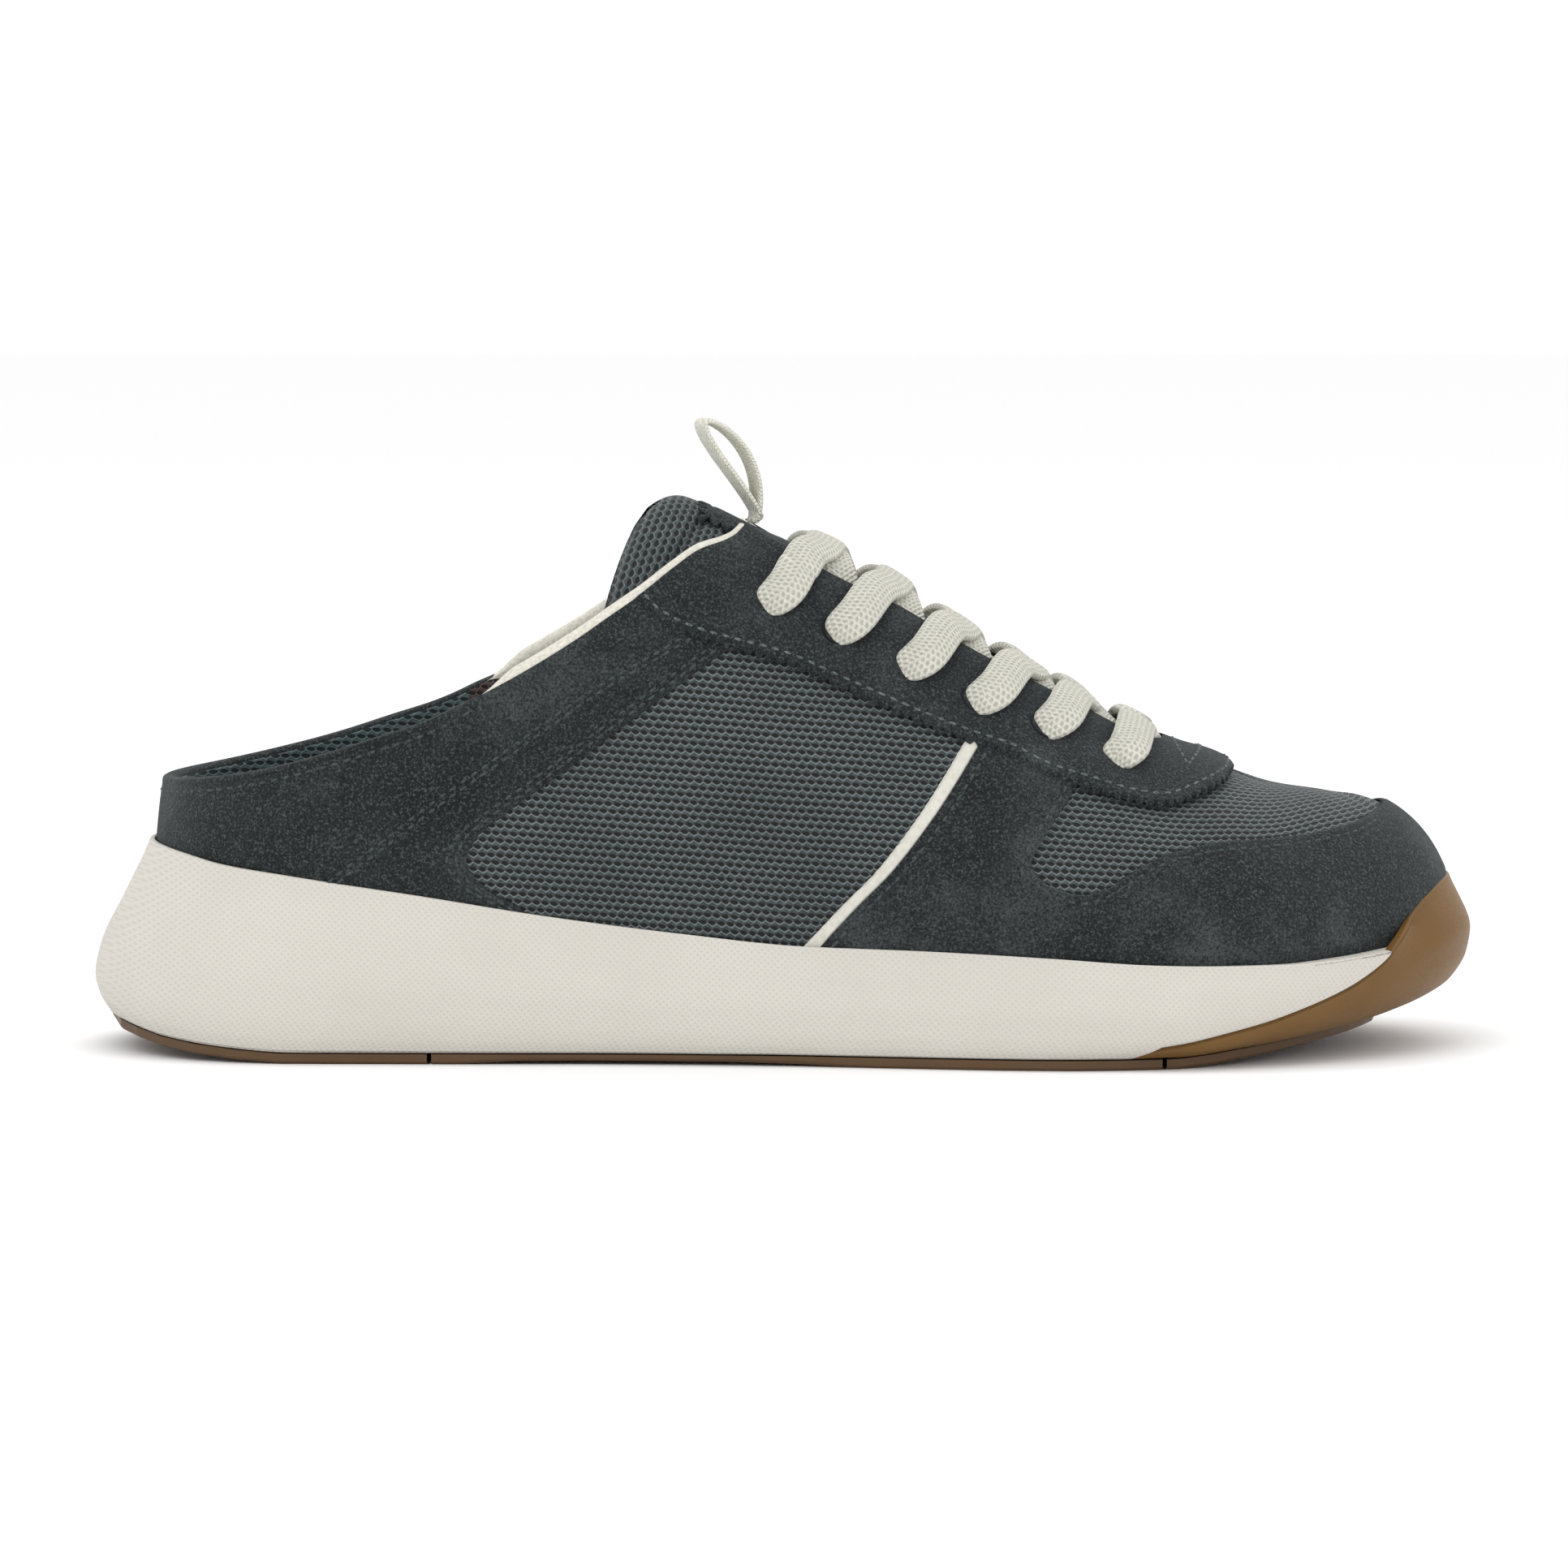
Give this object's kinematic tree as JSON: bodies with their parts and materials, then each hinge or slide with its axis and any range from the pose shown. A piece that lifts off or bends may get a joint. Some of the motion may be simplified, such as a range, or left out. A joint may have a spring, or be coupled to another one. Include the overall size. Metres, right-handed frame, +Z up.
{
  "type": "slip-on shoe",
  "caption": "Backless slip-on shoe with suede overlays on dark mesh, cream foam sole, gum rubber toe bumper and cream flat laces",
  "frame": {"origin": "middle of the bounding box, on the plane that the sole stands on", "axes": "+X to the toe, +Y to the medial side, +Z up"},
  "size_m": [0.2845, 0.1022, 0.1299],
  "materials": {
    "foam": "matt moulded foam with a fine slanted grain",
    "gum": "satin gum rubber",
    "suede": "short-napped suede, darker along its seams",
    "mesh": "open spacer mesh",
    "cream": "woven off-white tape",
    "footbed": "flat textile cover"
  },
  "bodies": {
    "root": {"midsole": "foam", "outsole_heel": "gum", "outsole_waist": "gum", "outsole_forefoot": "gum", "toe_bumper": "gum", "insole": "footbed", "upper": "mesh", "tongue": "mesh", "tongue_patch": "suede", "pull_loop": "cream", "eyestay": "suede", "heel_counter": "suede", "toe_panel": "suede", "quarter_band_lateral": "suede", "quarter_band_medial": "suede", "side_stripe_lateral": "cream", "side_stripe_medial": "cream", "collar_binding": "cream", "lace_cross_1": "cream", "lace_cross_2": "cream", "lace_cross_3": "cream", "lace_cross_4": "cream", "lace_cross_5": "cream", "lace_bar": "cream"}
  },
  "joints": []
}
